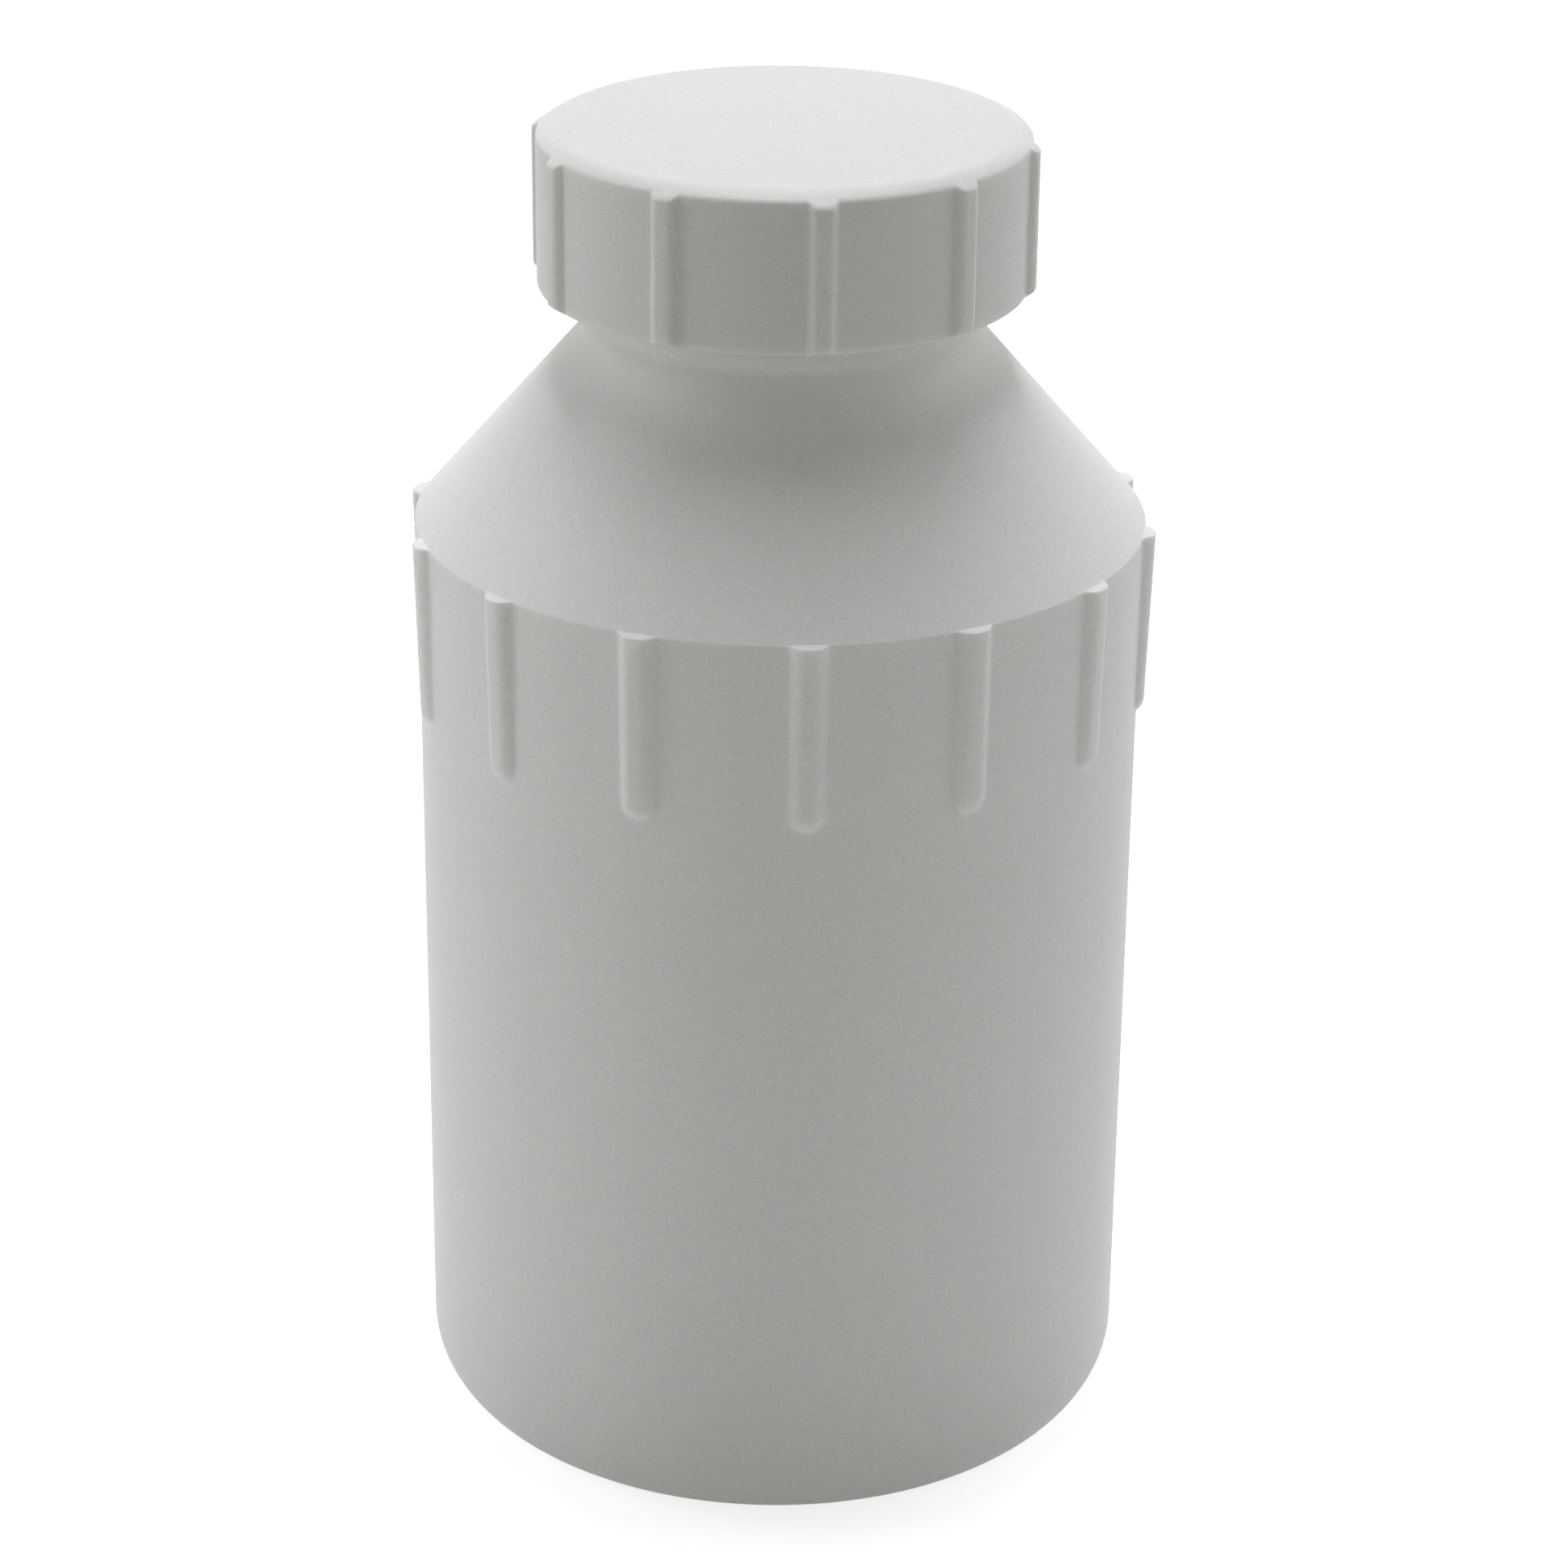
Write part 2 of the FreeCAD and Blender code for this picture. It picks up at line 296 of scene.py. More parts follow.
moulded_grain = grain_group()
print("group", moulded_grain.name)

# %% Node group: cloudy tone
def cloud_group():
    """A slow change of tone over the surface, about 1 in the middle."""
    group, start, end = new_group(
        "cloudy_tone",
        [("Place", "NodeSocketVector", None), ("Clouds per Metre", "NodeSocketFloat", 30.0),
         ("Depth", "NodeSocketFloat", 0.03)],
        [("Tone", "NodeSocketFloat")])
    slow = noise(group, start.outputs["Place"], start.outputs["Clouds per Metre"], roughness=0.5)
    link(group, tone_about_one(group, slow, start.outputs["Depth"]), end.inputs["Tone"])
    return group


cloudy_tone = cloud_group()
print("group", cloudy_tone.name)

# %% Node group: dust specks
def speck_group():
    """1 on a few small specks and 0 elsewhere. Each cell of a Voronoi pattern may hold one."""
    group, start, end = new_group(
        "dust_specks",
        [("Place", "NodeSocketVector", None), ("Cells per Metre", "NodeSocketFloat", 60.0),
         ("Share", "NodeSocketFloat", 0.05), ("Size", "NodeSocketFloat", 0.02)],
        [("Mask", "NodeSocketFloat")])
    cells = group.nodes.new("ShaderNodeTexVoronoi")
    link(group, start.outputs["Place"], cells.inputs["Vector"])
    link(group, start.outputs["Cells per Metre"], cells.inputs["Scale"])
    chance = group.nodes.new("ShaderNodeSeparateColor")
    link(group, cells.outputs["Color"], chance.inputs["Color"])
    chosen = arithmetic(group, "LESS_THAN", chance.outputs["Red"], start.outputs["Share"])
    near = arithmetic(group, "LESS_THAN", cells.outputs["Distance"], start.outputs["Size"])
    link(group, arithmetic(group, "MULTIPLY", chosen, near), end.inputs["Mask"])
    return group


dust_specks = speck_group()
print("group", dust_specks.name)

# %% Material: white fluoropolymer
POLYMER_IOR = 1.38
POLYMER_ROUGHNESS = 0.5
ROUGHNESS_SPREAD = 0.3
LIGHT_ENTERS = 0.55
LIGHT_REACH = 2.5 * MM
LIGHT_REACH_BY_COLOUR = (1.0, 0.85, 0.7)
BOTTLE_WHITE = (0.80, 0.80, 0.79)
CAP_WHITE = (0.71, 0.71, 0.695)
DUST_COLOUR = (0.25, 0.24, 0.22, 1.0)


def place_group(tree, group, place, **values):
    """Adds a shared group to a material and sets its inputs by their labels."""
    node = tree.nodes.new("ShaderNodeGroup")
    node.node_tree = group
    link(tree, place, node.inputs["Place"])
    for label, value in values.items():
        node.inputs[label.replace("_", " ")].default_value = value
    return node


def polymer(name, colour, bump_height, grain_tone, cloud_depth, speck_share):
    """Waxy matte plastic: light enters it a little way, and the grain steers tone, gloss and bump."""
    material = bpy.data.materials.new(name)
    material.use_nodes = True
    tree = material.node_tree
    shader = tree.nodes["Principled BSDF"]
    shader.inputs["IOR"].default_value = POLYMER_IOR
    shader.inputs["Subsurface Weight"].default_value = LIGHT_ENTERS
    shader.inputs["Subsurface Scale"].default_value = LIGHT_REACH
    shader.inputs["Subsurface Radius"].default_value = LIGHT_REACH_BY_COLOUR
    place = tree.nodes.new("ShaderNodeTexCoord").outputs["Object"]
    grain = place_group(tree, moulded_grain, place, Tone_Depth=grain_tone)
    clouds = place_group(tree, cloudy_tone, place, Depth=cloud_depth)
    specks = place_group(tree, dust_specks, place, Share=speck_share)
    tone = arithmetic(tree, "MULTIPLY", grain.outputs["Tone"], clouds.outputs["Tone"])
    scaled = tree.nodes.new("ShaderNodeVectorMath")
    scaled.operation = "SCALE"
    scaled.inputs[0].default_value = colour
    link(tree, tone, scaled.inputs["Scale"])
    dusty = tree.nodes.new("ShaderNodeMix")
    dusty.data_type = "RGBA"
    link(tree, specks.outputs["Mask"], dusty.inputs["Factor"])
    link(tree, scaled.outputs[0], dusty.inputs["A"])
    dusty.inputs["B"].default_value = DUST_COLOUR
    link(tree, dusty.outputs["Result"], shader.inputs["Base Color"])
    # the tops of the grain are rubbed a little smoother than its hollows
    smoother = arithmetic(tree, "MULTIPLY", grain.outputs["Height"], -ROUGHNESS_SPREAD)
    roughness = arithmetic(tree, "ADD", smoother, POLYMER_ROUGHNESS + ROUGHNESS_SPREAD / 2)
    link(tree, roughness, shader.inputs["Roughness"])
    bump = tree.nodes.new("ShaderNodeBump")
    bump.inputs["Distance"].default_value = bump_height
    link(tree, grain.outputs["Height"], bump.inputs["Height"])
    link(tree, bump.outputs["Normal"], shader.inputs["Normal"])
    return material


bottle_plastic = polymer("bottle_plastic", BOTTLE_WHITE, bump_height=0.02 * MM, grain_tone=0.32,
                         cloud_depth=0.03, speck_share=0.02)
cap_plastic = polymer("cap_plastic", CAP_WHITE, bump_height=0.02 * MM, grain_tone=0.32,
                      cloud_depth=0.03, speck_share=0.01)
disc_plastic = polymer("disc_plastic", BOTTLE_WHITE, bump_height=0.01 * MM, grain_tone=0.15,
                       cloud_depth=0.02, speck_share=0.0)
print("materials", bottle_plastic.name, cap_plastic.name, disc_plastic.name)

# %% [markdown]
# Both mouldings are round things with ribs. A modeller could revolve a profile and join ribs to it,
# but the joins would need fillets afterwards. Here each skin is a stack of rings instead: every
# ring is one trip round the axis, and its radius may change with the azimuth. A rib is then only a
# place where the radius swells, and its foot and crest are as round as the formula says.
# Where a corner has to stay crisp, a ring close beside it holds the shading in place.

# %% Stack of rings
SHARP_FROM = math.radians(35)
CLOSE_BY = 1.0 * MM


def ring(azimuths, radius, height):
    """Points once round the axis; radius and height are numbers or one number for each azimuth."""
    radius = np.broadcast_to(radius, azimuths.shape)
    height = np.broadcast_to(height, azimuths.shape)
    return np.column_stack([radius * np.cos(azimuths), radius * np.sin(azimuths), height])


def skin(name, rings, first_pole, last_pole, material):
    """Closed mesh through all rings, with a single point at each end."""
    count = len(rings[0])
    points = np.vstack([[first_pole]] + list(rings) + [[last_pole]])
    around = np.arange(count)
    ahead = (around + 1) % count
    faces = [(0, b + 1, a + 1) for a, b in zip(around, ahead)]
    for i in range(len(rings) - 1):
        low, high = 1 + i * count, 1 + (i + 1) * count
        faces += [(low + a, low + b, high + b, high + a) for a, b in zip(around, ahead)]
    top, last = len(points) - 1, 1 + (len(rings) - 1) * count
    faces += [(last + a, last + b, top) for a, b in zip(around, ahead)]
    mesh = bpy.data.meshes.new(name)
    mesh.from_pydata(points.tolist(), [], faces)
    mesh.validate()
    mesh.polygons.foreach_set("use_smooth", [True] * len(mesh.polygons))
    mesh.set_sharp_from_angle(angle=SHARP_FROM)
    mesh.materials.append(material)
    piece = bpy.data.objects.new(name, mesh)
    bpy.context.scene.collection.objects.link(piece)
    return piece


def arc_places(centre, radius, start, end, steps):
    """Radius and height along an arc, its angles measured in degrees from outwards to upwards."""
    angles = np.radians(np.linspace(start, end, steps + 1))
    return [(centre[0] + radius * math.cos(a), centre[1] + radius * math.sin(a)) for a in angles]


print("corners stay sharp from", round(math.degrees(SHARP_FROM)), "degrees")

# %% Section of a rib
def rib_share(distance, flank_half_width, stand, flank_angle, crest_round, foot_round):
    """A rib's height at a distance from its middle, from 1 on its crest to 0 on the wall."""
    turned = 1 - math.cos(flank_angle)
    slope = math.tan(flank_angle)
    scale = min(1.0, stand / ((crest_round + foot_round) * turned))
    crest, foot = crest_round * scale, foot_round * scale
    # the straight flank passes half height at the stated half width
    crest_end = flank_half_width - (stand / 2 - crest * turned) / slope
    foot_end = flank_half_width + (stand / 2 - foot * turned) / slope
    crest_start = crest_end - crest * math.sin(flank_angle)
    foot_start = foot_end + foot * math.sin(flank_angle)
    distance = np.abs(distance)
    on_crest = stand - crest + np.sqrt(np.maximum(crest ** 2 - (distance - crest_start) ** 2, 0))
    on_flank = stand / 2 - (distance - flank_half_width) * slope
    on_foot = foot - np.sqrt(np.maximum(foot ** 2 - (foot_start - distance) ** 2, 0))
    height = np.where(distance < crest_start, stand,
                      np.where(distance < crest_end, on_crest,
                               np.where(distance < foot_end, on_flank,
                                        np.where(distance < foot_start, on_foot, 0.0))))
    return height / stand


def azimuths_round(rib_count, first_azimuth, radius, across):
    """Azimuths of a ring: the stated distances either side of each rib, and even steps between."""
    sector = 2 * math.pi / rib_count
    side = np.array(across) / radius
    side = side[side < sector / 2]
    one = np.concatenate([-side[:0:-1], side, [sector / 2]])
    return np.concatenate([math.radians(first_azimuth) + k * sector + one for k in range(rib_count)])


def distance_to_rib(azimuths, rib_count, first_azimuth, radius):
    """Distance round the wall to the middle of the nearest rib."""
    sector = 2 * math.pi / rib_count
    turned = azimuths - math.radians(first_azimuth) + sector / 2
    return (np.mod(turned, sector) - sector / 2) * radius


example = rib_share(np.array([0, 1, 2, 3]) * MM, 2 * MM, 1.5 * MM, math.radians(50), 2 * MM, 1 * MM)
print("a rib 4 mm wide stands, 0 to 3 mm from its middle,", np.round(example, 2))

# %% [markdown]
# The bottle. It could be a solid with a hollow cut out of it, but one closed skin that turns over
# the rim needs no cut and has a real wall. It runs from the dished base up the barrel, over the
# shoulder edge, up the cone and the threaded neck, and over the rim down the inside to the floor.
# The sizes are the CAD solid's own, apart from a few tenths of a millimetre where the photograph
# shows a softer or wider form than the solid has. The last cell compares the two boxes.

# %% Sizes of the bottle
BODY_RADIUS = 52.0 * MM
SHOULDER_HEIGHT = 138.5 * MM
SHOULDER_SLOPE = math.radians(49.35)
WALL = 4.0 * MM
FLOOR_THICKNESS = 4.0 * MM
BASE_EDGE_RADIUS = 9.9 * MM
DISH_DEPTH = 1.0 * MM
DISH_RADIUS = 33.0 * MM
DISH_BEVEL = 2.0 * MM
BARREL_RINGS_FROM = 15 * MM
NECK_RADIUS = 26.2 * MM
NECK_HEIGHT = 20.4 * MM
NECK_WALL = 3.7 * MM
NECK_BLEND_RADIUS = 4.5 * MM
RIM_ROUND = 0.6 * MM

SHOULDER_RISE = math.tan(SHOULDER_SLOPE)
CONE_TURN = math.pi / 2 - SHOULDER_SLOPE
NECK_FOOT_Z = SHOULDER_HEIGHT + (BODY_RADIUS - NECK_RADIUS) * SHOULDER_RISE
RIM_Z = NECK_FOOT_Z + NECK_HEIGHT
CAVITY_RADIUS = BODY_RADIUS - WALL
BORE_RADIUS = NECK_RADIUS - NECK_WALL
print("neck foot", round(NECK_FOOT_Z / MM, 2), "rim", round(RIM_Z / MM, 2))

# %% [markdown]
# Ribs below the shoulder. On the real bottle they give a wet glove something to hold, and they
# stiffen the wall. They stand a little prouder at the top, end in a half-round at the bottom, and
# have a soft crest and a soft foot. The columns of points stand close together across each rib,
# where the radius changes, and far apart between the ribs, where it doesn't.

# %% Ribs below the shoulder
BODY_RIBS = 14
BODY_RIB_AZIMUTH = -85.6
BODY_RIB_HALF_WIDTH = 2.1 * MM
BODY_RIB_FLANK = math.radians(50)
BODY_RIB_CREST_ROUND = 2.2 * MM
BODY_RIB_FOOT_ROUND = 0.8 * MM
BODY_RIB_LENGTH = 27.5 * MM
# from the rib's end up to the centre of its half-round, and from that centre down to the first ring
BODY_RIB_END_ROUND = 2.9 * MM
BODY_RIB_END_REACH = 3.0 * MM
BODY_RIB_STAND_TOP = 1.56 * MM
BODY_RIB_STAND_END = 1.1 * MM
BODY_RIB_RISE = 0.1 * MM
BODY_RIB_TOP_ROUND = 0.25 * MM
SHOULDER_EDGE_ROUND = 0.4 * MM
BARREL_FLARE = 0.25 * MM
FLARE_START = 105 * MM
EDGE_RADIUS = BODY_RADIUS + BARREL_FLARE
ACROSS_BODY_RIB = np.array([0, 0.3, 0.6, 0.85, 1.05, 1.25, 1.45, 1.6, 1.75, 1.9, 2.05, 2.2, 2.35,
                            2.5, 2.65, 2.8, 3.0, 3.5, 4.4, 5.6, 7.2, 9.2]) * MM

body_azimuths = azimuths_round(BODY_RIBS, BODY_RIB_AZIMUTH, BODY_RADIUS, ACROSS_BODY_RIB)
across_body = distance_to_rib(body_azimuths, BODY_RIBS, BODY_RIB_AZIMUTH, BODY_RADIUS)
rib_end_centre = SHOULDER_HEIGHT - BODY_RIB_LENGTH + BODY_RIB_END_ROUND


def body_rib_share(distance, stand):
    """The section of a body rib that stands this far out of the wall."""
    return rib_share(distance, BODY_RIB_HALF_WIDTH, stand, BODY_RIB_FLANK, BODY_RIB_CREST_ROUND,
                     BODY_RIB_FOOT_ROUND)


def wall_radius(height):
    """The barrel opens a little towards the shoulder edge."""
    share = min(max((height - FLARE_START) / (SHOULDER_HEIGHT - FLARE_START), 0.0), 1.0)
    return BODY_RADIUS + BARREL_FLARE * share


def body_rib_height(height):
    """How far the ribs stand out of the barrel at one height, for each azimuth."""
    share_up = np.clip((height - rib_end_centre) / (SHOULDER_HEIGHT - rib_end_centre), 0, 1)
    stand = BODY_RIB_STAND_END + (BODY_RIB_STAND_TOP - BODY_RIB_STAND_END) * share_up
    below = max(rib_end_centre - height, 0.0)
    distance = np.hypot(across_body, below)
    return stand * body_rib_share(distance, stand)


print(len(body_azimuths), "columns round the bottle")

# %% Rings of the bottle's outside, from the base to the shoulder edge
def base_and_barrel_rings():
    centre = (BODY_RADIUS - BASE_EDGE_RADIUS, BASE_EDGE_RADIUS)
    dish_edge = DISH_RADIUS - DISH_BEVEL
    places = [(DISH_RADIUS / 2, DISH_DEPTH), (dish_edge - CLOSE_BY, DISH_DEPTH)]
    places += [(dish_edge, DISH_DEPTH), (DISH_RADIUS, 0.0), (centre[0], 0.0)]
    places += arc_places(centre, BASE_EDGE_RADIUS, -85, 0, 17)
    places += [(BODY_RADIUS, height) for height in np.linspace(BARREL_RINGS_FROM, FLARE_START, 10)]
    return [ring(body_azimuths, radius, height) for radius, height in places]


def rib_rings():
    """Close rings round the half-round lower ends, and wider ones up the straight part."""
    heights = np.concatenate([
        np.linspace(rib_end_centre - BODY_RIB_END_REACH, rib_end_centre, 15),
        np.linspace(rib_end_centre, SHOULDER_HEIGHT - 2 * CLOSE_BY, 8)[1:],
    ])
    return [ring(body_azimuths, wall_radius(height) + body_rib_height(height), height)
            for height in heights]


def shoulder_edge_rings():
    """The wall turns over a soft round between the ribs and over a crisper one on top of each rib."""
    share = body_rib_share(across_body, BODY_RIB_STAND_TOP)
    stand = BODY_RIB_STAND_TOP * share
    rounding = SHOULDER_EDGE_ROUND + (BODY_RIB_TOP_ROUND - SHOULDER_EDGE_ROUND) * share
    last_angle = CONE_TURN + (math.pi / 2 - CONE_TURN) * share
    # the arc is tangent to the wall and, between ribs, to the cone
    low_z = SHOULDER_HEIGHT - rounding * math.tan(CONE_TURN / 2)
    top_z = SHOULDER_HEIGHT + BODY_RIB_RISE
    low_z = low_z + (top_z - BODY_RIB_TOP_ROUND - low_z) * share
    rings = []
    for part in np.linspace(0, 1, 9):
        angle = last_angle * part
        radius = EDGE_RADIUS + stand - rounding * (1 - np.cos(angle))
        rings.append(ring(body_azimuths, radius, low_z + rounding * np.sin(angle)))
    return rings


outside_rings = base_and_barrel_rings() + rib_rings() + shoulder_edge_rings()
print(len(outside_rings), "rings up to the shoulder edge")

# %% [markdown]
# The cone and the neck. The cone runs straight up and blends into the neck. The thread is a single
# right-hand ridge, one and a half turns long, that fades out at both ends. Blender's Screw modifier
# makes such a ridge, but it would have to be joined to the neck. Here each ring asks how far the
# ridge stands out at its own height, so the thread grows out of the wall in one piece.

# %% Rings of the cone and neck
THREAD_PITCH = 5.0 * MM
THREAD_DEPTH = 1.7 * MM
THREAD_FLANK = math.radians(30)
THREAD_PLAY = 0.4 * MM
THREAD_FADE_TURNS = 50 / 360
NECK_THREAD_TURNS = 1.5
NECK_THREAD_BELOW_RIM = 2.8 * MM
THREAD_STEP = 0.26 * MM
# the cone's first ring lies just inside the rounded edge, two more lie close by, then even steps
CONE_START = EDGE_RADIUS - 0.15 * MM
CONE_CLOSE_BY = np.array([0, 0.2, 0.8]) * MM
CONE_EVEN_FROM = 2.5 * MM
neck_thread_start = RIM_Z - NECK_THREAD_BELOW_RIM - THREAD_PITCH * NECK_THREAD_TURNS


def eased(share):
    """From 0 to 1 with no corner at either end."""
    share = np.clip(share, 0, 1)
    return share * share * (3 - 2 * share)


def thread_height(azimuths, height, start_z, first_turn, last_turn):
    """How far the ridge stands out of its wall at one height, for each azimuth."""
    flank = THREAD_DEPTH * math.tan(THREAD_FLANK)
    half_width = THREAD_PITCH / 4 - THREAD_PLAY / 2 + flank / 2
    turn_here = np.mod(azimuths, 2 * math.pi) / (2 * math.pi)
    best = np.zeros_like(azimuths)
    for whole in range(math.floor(first_turn) - 1, math.ceil(last_turn) + 1):
        turn = turn_here + whole
        away = np.abs(height - (start_z + THREAD_PITCH * turn))
        fade = eased(np.minimum(turn - first_turn, last_turn - turn) / THREAD_FADE_TURNS)
        side = eased((half_width - away) / flank)
        best = np.maximum(best, side * fade)
    return THREAD_DEPTH * best


def cone_z(radius):
    """Height of the cone, which starts at the flared edge and ends at the neck's foot."""
    share = (EDGE_RADIUS - radius) / (EDGE_RADIUS - NECK_RADIUS)
    return SHOULDER_HEIGHT + (NECK_FOOT_Z - SHOULDER_HEIGHT) * share


def cone_and_neck_rings():
    """Up the cone, round the blend at the neck's foot, and up the threaded neck."""
    reach = NECK_BLEND_RADIUS * math.tan(CONE_TURN / 2)
    blend_radius = NECK_RADIUS + reach * math.cos(SHOULDER_SLOPE)
    radii = np.concatenate([CONE_START - CONE_CLOSE_BY,
                            np.linspace(CONE_START - CONE_EVEN_FROM, blend_radius, 8)])
    places = [(radius, cone_z(radius)) for radius in radii]
    centre = (NECK_RADIUS + NECK_BLEND_RADIUS, NECK_FOOT_Z + reach)
    places += arc_places(centre, NECK_BLEND_RADIUS, 180 + math.degrees(CONE_TURN), 180, 7)[1:]
    rings = [ring(body_azimuths, radius, height) for radius, height in places]
    low = neck_thread_start - THREAD_PITCH / 2
    high = RIM_Z - RIM_ROUND
    for height in np.linspace(low, high, round((high - low) / THREAD_STEP)):
        stand = thread_height(body_azimuths, height, neck_thread_start, 0.0, NECK_THREAD_TURNS)
        rings.append(ring(body_azimuths, NECK_RADIUS + stand, height))
    return rings


outside_rings += cone_and_neck_rings()
print(len(outside_rings), "rings up to the rim")

# %% [markdown]
# The inside. A Solidify modifier would give the wall its thickness, but ribs and thread would then
# show inside as well. The real inside is plain, so it is drawn with rings of its own: over the
# rounded rim, down the bore, out along the cone and down to a flat floor.

# %% Rings over the rim and down the inside
floor_z = DISH_DEPTH + FLOOR_THICKNESS
CAVITY_RINGS = np.linspace(120, 20, 4) * MM


def inside_rings():
    wall_drop = WALL / math.cos(SHOULDER_SLOPE)

    def inner_cone_z(radius):
        return SHOULDER_HEIGHT + (BODY_RADIUS - radius) * SHOULDER_RISE - wall_drop

    places = arc_places((NECK_RADIUS - RIM_ROUND, RIM_Z - RIM_ROUND), RIM_ROUND, 18, 90, 4)
    places += arc_places((BORE_RADIUS + RIM_ROUND, RIM_Z - RIM_ROUND), RIM_ROUND, 90, 180, 5)
    bore_heights = np.linspace(RIM_Z - 4 * CLOSE_BY, inner_cone_z(BORE_RADIUS), 3)
    places += [(BORE_RADIUS, height) for height in bore_heights]
    cone_radii = np.linspace(BORE_RADIUS, CAVITY_RADIUS, 5)[1:]
    places += [(radius, inner_cone_z(radius)) for radius in cone_radii]
    places += [(CAVITY_RADIUS, height) for height in CAVITY_RINGS]
    floor_radii = (CAVITY_RADIUS, CAVITY_RADIUS - CLOSE_BY, CAVITY_RADIUS / 2)
    places += [(radius, floor_z) for radius in floor_radii]
    return [ring(body_azimuths, radius, height) for radius, height in places]


bottle_skin = skin("bottle_skin", outside_rings + inside_rings(), (0, 0, DISH_DEPTH), (0, 0, floor_z),
                   bottle_plastic)
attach(bottle_skin, "bottle")
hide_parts("bottle")
print("bottle skin", len(bottle_skin.data.polygons), "faces")

# %% [markdown]
# The cap. Its plan is a circle with ten ribs that run its full height. A modeller could extrude
# that plan and bevel its edges, but the bevels would break up where they meet the ribs, so the cap
# is a stack of rings as well. It starts in the roof, runs down the threaded bore, turns under the
# skirt and comes up the ribbed side.

# %% Sizes of the cap
CAP_RIBS = 10
CAP_RIB_AZIMUTH = -81.2
CAP_RIB_HALF_WIDTH = 1.68 * MM
CAP_RIB_STAND = 1.15 * MM
CAP_RIB_FLANK = math.radians(58)
CAP_RIB_CREST_ROUND = 1.2 * MM
CAP_RIB_FOOT_ROUND = 0.6 * MM
CAP_WALL = 6.1 * MM
CAP_LAP = 16.0 * MM
# 0.35 mm thicker than the solid's roof, whose straight slope becomes a rounded roll-off here
CAP_ROOF = 4.75 * MM
DISC_THICKNESS = 1.5 * MM
THREAD_GAP = 0.5 * MM
CAP_THREAD_TURNS = 1.25
CAP_THREAD_BELOW_RIM = 2.3 * MM
CAP_EDGE_ROLL = 4.0 * MM
CAP_EDGE_SLOPE = math.radians(28)
CAP_EDGE_STRAIGHT = 1.0 * MM
CAP_CORNER_ROUND = 0.3 * MM
CAP_LOWER_CUT = 0.1 * MM
CAP_BORE_BEVEL = 0.4 * MM
ACROSS_CAP_RIB = np.array([0, 0.2, 0.4, 0.6, 0.8, 1.0, 1.15, 1.3, 1.45, 1.6, 1.75, 1.9, 2.05,
                           2.25, 2.5, 2.9, 3.6, 4.8, 6.4, 8.4]) * MM

ROOF_Z = RIM_Z + DISC_THICKNESS
CAP_TOP_Z = ROOF_Z + CAP_ROOF
CAP_BOTTOM_Z = RIM_Z - CAP_LAP
CAP_BORE_RADIUS = NECK_RADIUS + THREAD_DEPTH + THREAD_GAP
CAP_RADIUS = CAP_BORE_RADIUS + CAP_WALL

cap_azimuths = azimuths_round(CAP_RIBS, CAP_RIB_AZIMUTH, CAP_RADIUS, ACROSS_CAP_RIB)
across_cap = distance_to_rib(cap_azimuths, CAP_RIBS, CAP_RIB_AZIMUTH, CAP_RADIUS)
cap_rib_share = rib_share(across_cap, CAP_RIB_HALF_WIDTH, CAP_RIB_STAND, CAP_RIB_FLANK,
                          CAP_RIB_CREST_ROUND, CAP_RIB_FOOT_ROUND)
cap_outline = CAP_RADIUS + CAP_RIB_STAND * cap_rib_share
roll_width = CAP_EDGE_ROLL * math.sin(CAP_EDGE_SLOPE)
roll_start = CAP_RADIUS - CAP_EDGE_STRAIGHT - roll_width
print(len(cap_azimuths), "columns round the cap, radius", round(CAP_RADIUS / MM, 2))

# %% Rings of the cap's inside, from the roof down to the lower edge
def cap_inside_rings():
    """The bore with its thread; half a pitch lower than the neck's, it lies in the neck's grooves."""
    start_z = neck_thread_start - THREAD_PITCH / 2
    last_turn = (RIM_Z - CAP_THREAD_BELOW_RIM - start_z) / THREAD_PITCH
    first_turn = last_turn - CAP_THREAD_TURNS
    rings = [ring(cap_azimuths, CAP_BORE_RADIUS * part, ROOF_Z) for part in (0.5, 0.97)]
    bevel_z = CAP_BOTTOM_Z + CAP_BORE_BEVEL
    for height in np.linspace(ROOF_Z, bevel_z, round((ROOF_Z - CAP_BOTTOM_Z) / THREAD_STEP)):
        stand = thread_height(cap_azimuths, height, start_z, first_turn, last_turn)
        rings.append(ring(cap_azimuths, CAP_BORE_RADIUS - stand, height))
    rings.append(ring(cap_azimuths, CAP_BORE_RADIUS + CAP_BORE_BEVEL, CAP_BOTTOM_Z))
    return rings


cap_rings = cap_inside_rings()
print(len(cap_rings), "rings inside the cap")

# %% [markdown]
# The outside of the cap. The flat roof rolls off at its edge, and the slope runs on over the top of
# each rib to a crisp corner, which catches a thin line of light. The lower edge is cut back at the
# same slope, so each rib ends a little above it. Both are heights that depend only on the radius,
# so they hold on the ribs and between them alike.

# %% Rings of the cap's outside, from the lower edge up to the roof
def roof_height(radius):
    """The roof's height: flat, then an arc that rolls off, then straight on at the arc's last slope."""
    along = np.clip(radius - roll_start, 0, roll_width)
    drop = CAP_EDGE_ROLL - np.sqrt(CAP_EDGE_ROLL ** 2 - along ** 2)
    beyond = np.maximum(radius - roll_start - roll_width, 0)
    return CAP_TOP_Z - drop - beyond * math.tan(CAP_EDGE_SLOPE)


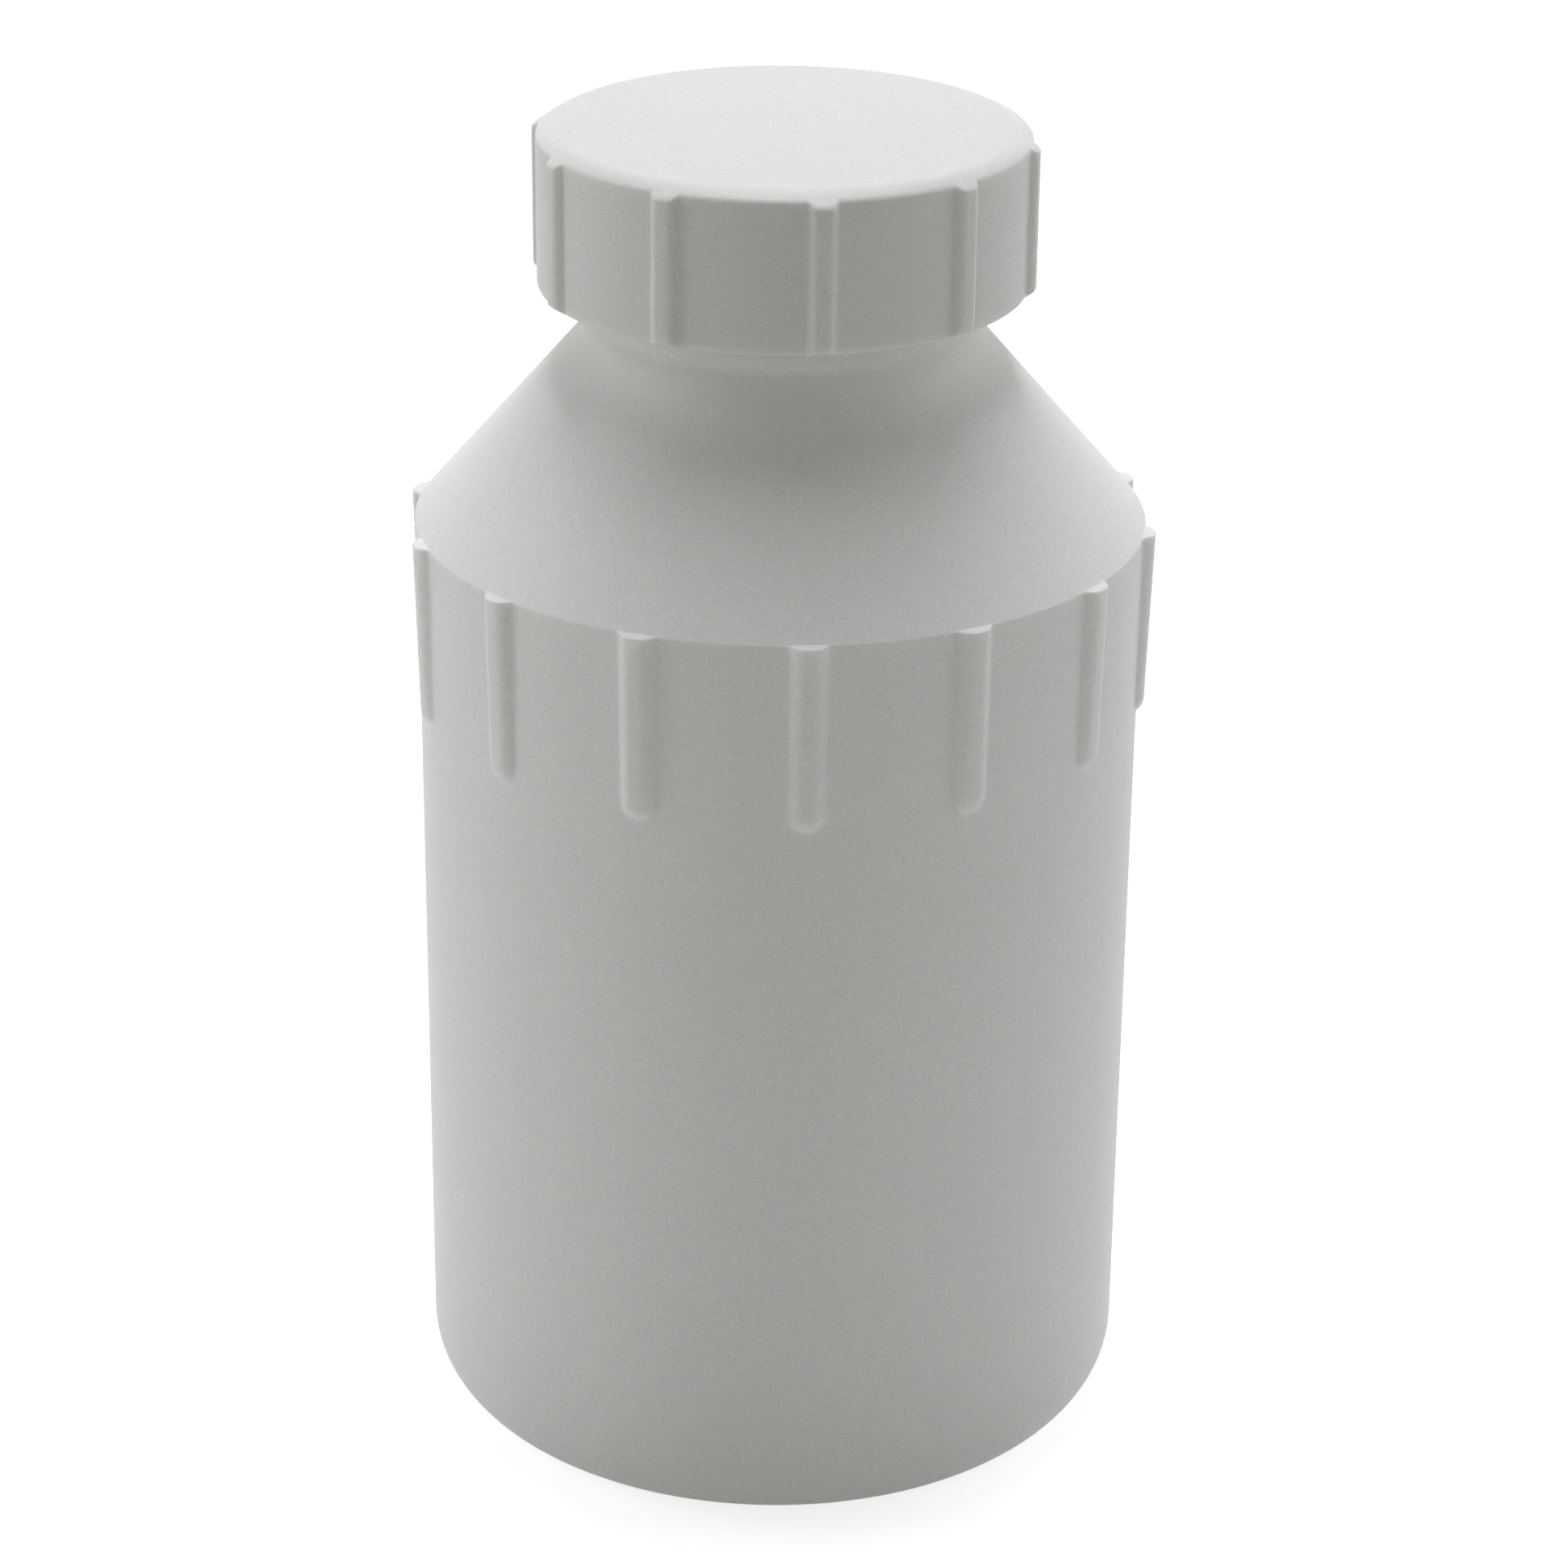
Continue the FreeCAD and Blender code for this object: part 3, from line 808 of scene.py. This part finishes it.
def cap_outside_rings():
    corner = CAP_CORNER_ROUND
    slope = math.tan(CAP_EDGE_SLOPE)
    corner_z = roof_height(cap_outline) - corner * slope
    # the lower edge slopes up from here, so at the cap's wall it is higher by the cut
    cut_start = CAP_RADIUS - CAP_LOWER_CUT / slope
    low = CAP_BOTTOM_Z + (cap_outline - cut_start) * slope
    rings = [ring(cap_azimuths, cut_start, CAP_BOTTOM_Z)]
    # each pair says how far in from the side and how far up, as shares of the corner's round
    rings += [ring(cap_azimuths, cap_outline - back * corner, low + up * corner - back * corner * slope)
              for back, up in ((1, 0), (0.35, 0.05), (0, 0.5))]
    for part in np.linspace(0.05, 0.92, 7):
        rings.append(ring(cap_azimuths, cap_outline, low + (corner_z - low) * part))
    # the crisp corner, from the upright side to the slope
    rings.append(ring(cap_azimuths, cap_outline, corner_z - corner * 0.35))
    rings.append(ring(cap_azimuths, cap_outline - corner * 0.35, corner_z + corner * 0.3))
    for part in (1, 0.85, 0.72, 0.6, 0.5, 0.4, 0.3, 0.2, 0.1, 0):
        radius = roll_start + (cap_outline - corner - roll_start) * part
        rings.append(ring(cap_azimuths, radius, roof_height(radius)))
    rings += [ring(cap_azimuths, roll_start * part, CAP_TOP_Z) for part in (0.97, 0.75, 0.5, 0.25)]
    return rings


cap_rings += cap_outside_rings()
cap_skin = skin("cap_skin", cap_rings, (0, 0, ROOF_Z), (0, 0, CAP_TOP_Z), cap_plastic)
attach(cap_skin, "cap")
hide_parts("screw_cap")
print("cap skin", len(cap_skin.data.polygons), "faces")

# %% [markdown]
# The sealing disc is a plain flat disc, so the CAD node is already its true form. It only needs
# its plastic, set on the node's own material slot.

# %% Sealing disc
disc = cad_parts["sealing_disc"]
disc.data.materials.clear()
disc.data.materials.append(disc_plastic)
print("disc slots", len(disc.data.materials))

# %% [markdown]
# The two skins stand in for their CAD solids, so each has to fill the same space.

# %% Compare with the CAD solids and finish
def box_of(piece):
    places = np.array([vertex.co for vertex in piece.data.vertices])
    return places.min(axis=0), places.max(axis=0)


for piece, node in ((bottle_skin, "bottle"), (cap_skin, "screw_cap")):
    low, high = box_of(piece)
    cad_low, cad_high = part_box(node)
    print(piece.name, "low", np.round((low - np.array(cad_low)) / MM, 2), "high",
          np.round((high - np.array(cad_high)) / MM, 2), "mm from the CAD box")
